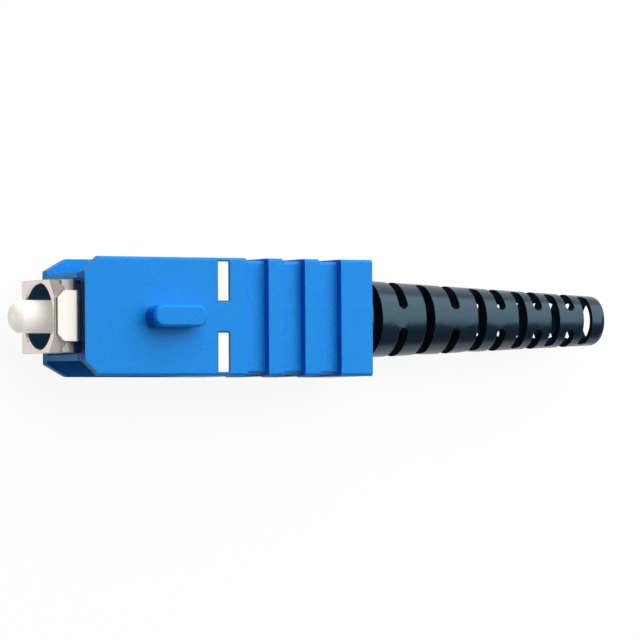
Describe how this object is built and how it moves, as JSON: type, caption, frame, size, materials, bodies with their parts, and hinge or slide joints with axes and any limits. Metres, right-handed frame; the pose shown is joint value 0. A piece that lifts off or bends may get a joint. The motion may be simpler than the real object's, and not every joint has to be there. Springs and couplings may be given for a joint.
{
  "type": "fibre-optic push-pull connector",
  "caption": "Push-pull fibre-optic plug: keyed rectangular sleeve over a plug frame with a sprung 2.5 mm ferrule, and a slotted tapered strain-relief boot.",
  "frame": {"origin": "on the ferrule axis, in the plane of the plug frame's front face", "axes": "+X runs from the ferrule towards the boot, +Z towards the key side, and the part lies on its -Z face"},
  "size_m": [0.051, 0.009, 0.009],
  "materials": {
    "blue_plastic": "moulded, fine satin",
    "mark_white": "paint fill",
    "frame_plating": "die-cast, bright plated, slightly warm",
    "zirconia": "ground and polished",
    "flange_metal": "turned",
    "tube_plastic": "extruded",
    "spring_steel": "drawn wire",
    "nickel_brass": "turned, nickel plated",
    "boot_rubber": "moulded, semi-gloss"
  },
  "bodies": {
    "core": {"plug_frame": "frame_plating", "rear_body": "nickel_brass", "crimp_sleeve": "nickel_brass", "boot": "boot_rubber", "spring": "spring_steel"},
    "ferrule_set": {"ferrule": "zirconia", "ferrule_flange": "flange_metal", "guide_tube": "tube_plastic"},
    "sleeve": {"outer_housing": "blue_plastic", "index_marks": "mark_white"}
  },
  "joints": [
    {"name": "sleeve_slide", "type": "slide", "parent": "core", "child": "sleeve", "axis": [1, 0, 0], "range_m": [-0.0006, 0.0012]},
    {"name": "ferrule_slide", "type": "slide", "parent": "core", "child": "ferrule_set", "axis": [1, 0, 0], "range_m": [0, 0.001], "stiffness_N_per_m": 1500, "springref_m": -0.002, "deforming": ["spring"]}
  ]
}
